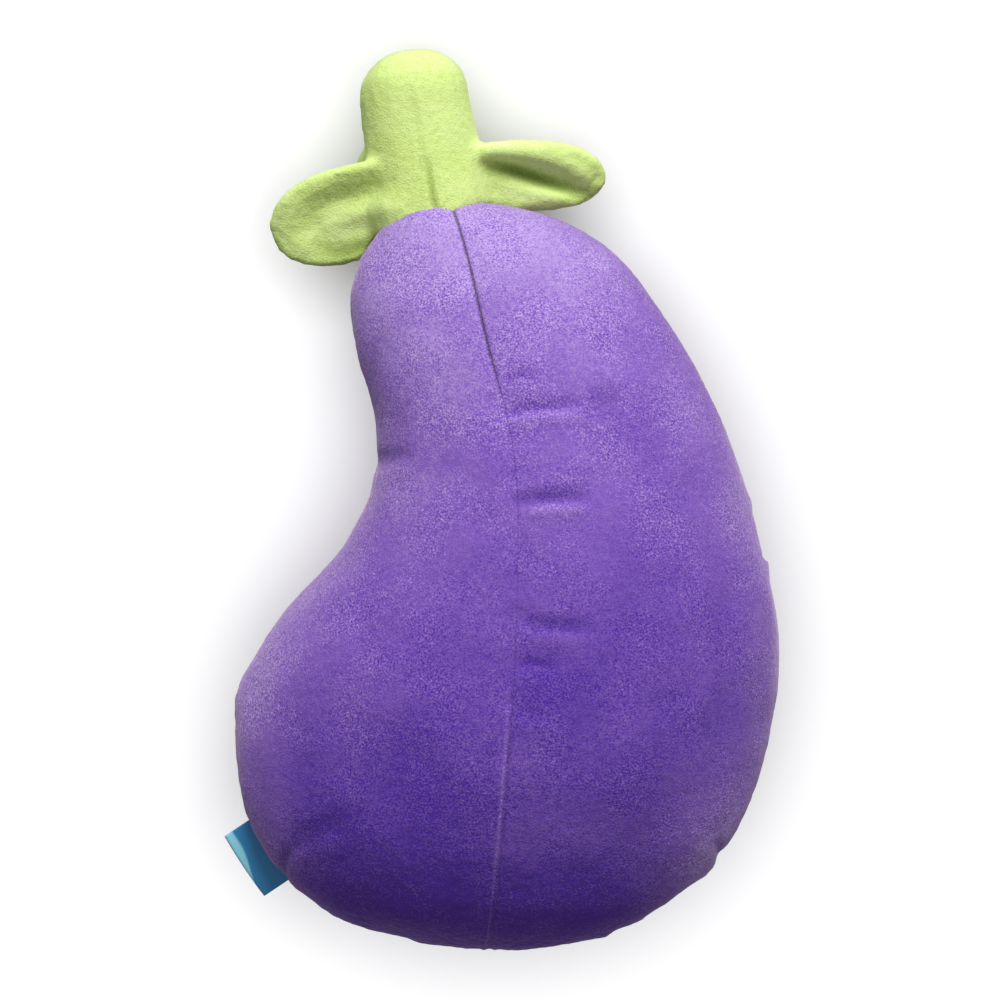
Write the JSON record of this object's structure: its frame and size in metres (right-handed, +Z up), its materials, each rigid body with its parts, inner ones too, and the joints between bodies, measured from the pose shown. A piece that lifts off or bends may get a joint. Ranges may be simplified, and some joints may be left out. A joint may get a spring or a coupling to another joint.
{
  "type": "plush eggplant toy",
  "caption": "Soft stuffed toy in the form of a bent eggplant, sewn from short-pile plush, with a stuffed stem, cupped leaves and a blank side label, lying on its front.",
  "frame": {"origin": "centre of the bounding box's underside, on the surface the toy lies on", "axes": "+Y from the rounded bottom end to the stem, +X to the side away from the body's inner bend, +Z up out of the toy's back"},
  "size_m": [0.1948, 0.3184, 0.1065],
  "materials": {
    "purple_plush": "short brushed pile",
    "lime_plush": "short brushed pile",
    "polyester_fibre": "loose fibre",
    "blue_satin": "satin weave"
  },
  "bodies": {
    "root": {"body_front_panel": "purple_plush", "body_back_left_panel": "purple_plush", "body_back_right_panel": "purple_plush", "body_stuffing": "polyester_fibre", "stem_left_panel": "lime_plush", "stem_right_panel": "lime_plush", "stem_stuffing": "polyester_fibre", "leaf_left_back_layer": "lime_plush", "leaf_left_front_layer": "lime_plush", "leaf_left_wadding": "polyester_fibre", "leaf_right_back_layer": "lime_plush", "leaf_right_front_layer": "lime_plush", "leaf_right_wadding": "polyester_fibre", "leaf_front_back_layer": "lime_plush", "leaf_front_front_layer": "lime_plush", "leaf_front_wadding": "polyester_fibre", "label": "blue_satin"}
  },
  "joints": []
}
